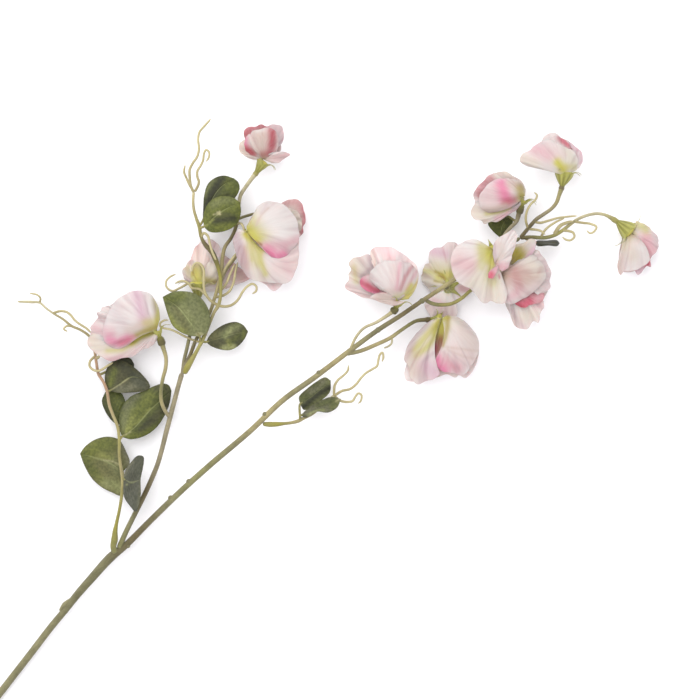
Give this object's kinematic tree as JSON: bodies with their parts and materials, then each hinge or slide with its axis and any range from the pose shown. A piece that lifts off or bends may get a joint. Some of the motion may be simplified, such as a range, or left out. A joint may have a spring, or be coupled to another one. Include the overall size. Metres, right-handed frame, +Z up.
{
  "type": "sweet pea flower",
  "caption": "Branching cut spray of sweet pea with frilled pale pink blooms, small oval leaves and curling tendrils, lying flat.",
  "frame": {"origin": "middle of the base of the bounding box, on the table", "axes": "+Z up from the table; +X along the longer side of the spray, towards its blooming tip; +Y across it, towards the side branch; the cut end of the stem points to -X and -Y"},
  "size_m": [0.4501, 0.4084, 0.04],
  "materials": {
    "stem": "olive grey, lightly ribbed and dull",
    "twig": "pale straw olive, dull",
    "leaf": "matt grey green with a paler midrib and veins",
    "calyx": "yellow green, satin",
    "petal": "near white with a pink blush, thin and pleated"
  },
  "bodies": {
    "root": {"main_stem": "stem", "side_stem": "stem", "twig_a": "twig", "twig_b": "twig", "twig_c": "twig", "bloom_01_petals": "petal", "bloom_02_petals": "petal", "bloom_03_petals": "petal", "bloom_04_petals": "petal", "bloom_05_petals": "petal", "bloom_06_petals": "petal", "bloom_07_petals": "petal", "bloom_08_petals": "petal", "bloom_09_petals": "petal", "bloom_10_petals": "petal", "bloom_11_petals": "petal", "bloom_12_petals": "petal", "bloom_13_petals": "petal", "bloom_01_calyx": "calyx", "bloom_02_calyx": "calyx", "bloom_03_calyx": "calyx", "bloom_04_calyx": "calyx", "bloom_05_calyx": "calyx", "bloom_06_calyx": "calyx", "bloom_07_calyx": "calyx", "bloom_08_calyx": "calyx", "bloom_09_calyx": "calyx", "bloom_10_calyx": "calyx", "bloom_11_calyx": "calyx", "bloom_12_calyx": "calyx", "bloom_13_calyx": "calyx", "leaf_a1": "leaf", "leaf_a2": "leaf", "leaf_a3": "leaf", "leaf_a4": "leaf", "leaf_a5": "leaf", "leaf_a6": "leaf", "leaf_b1": "leaf", "leaf_b2": "leaf", "leaf_b3": "leaf", "leaf_b4": "leaf", "leaf_c1": "leaf", "leaf_c2": "leaf", "leaf_d1": "leaf", "leaf_d2": "leaf"}
  },
  "joints": []
}
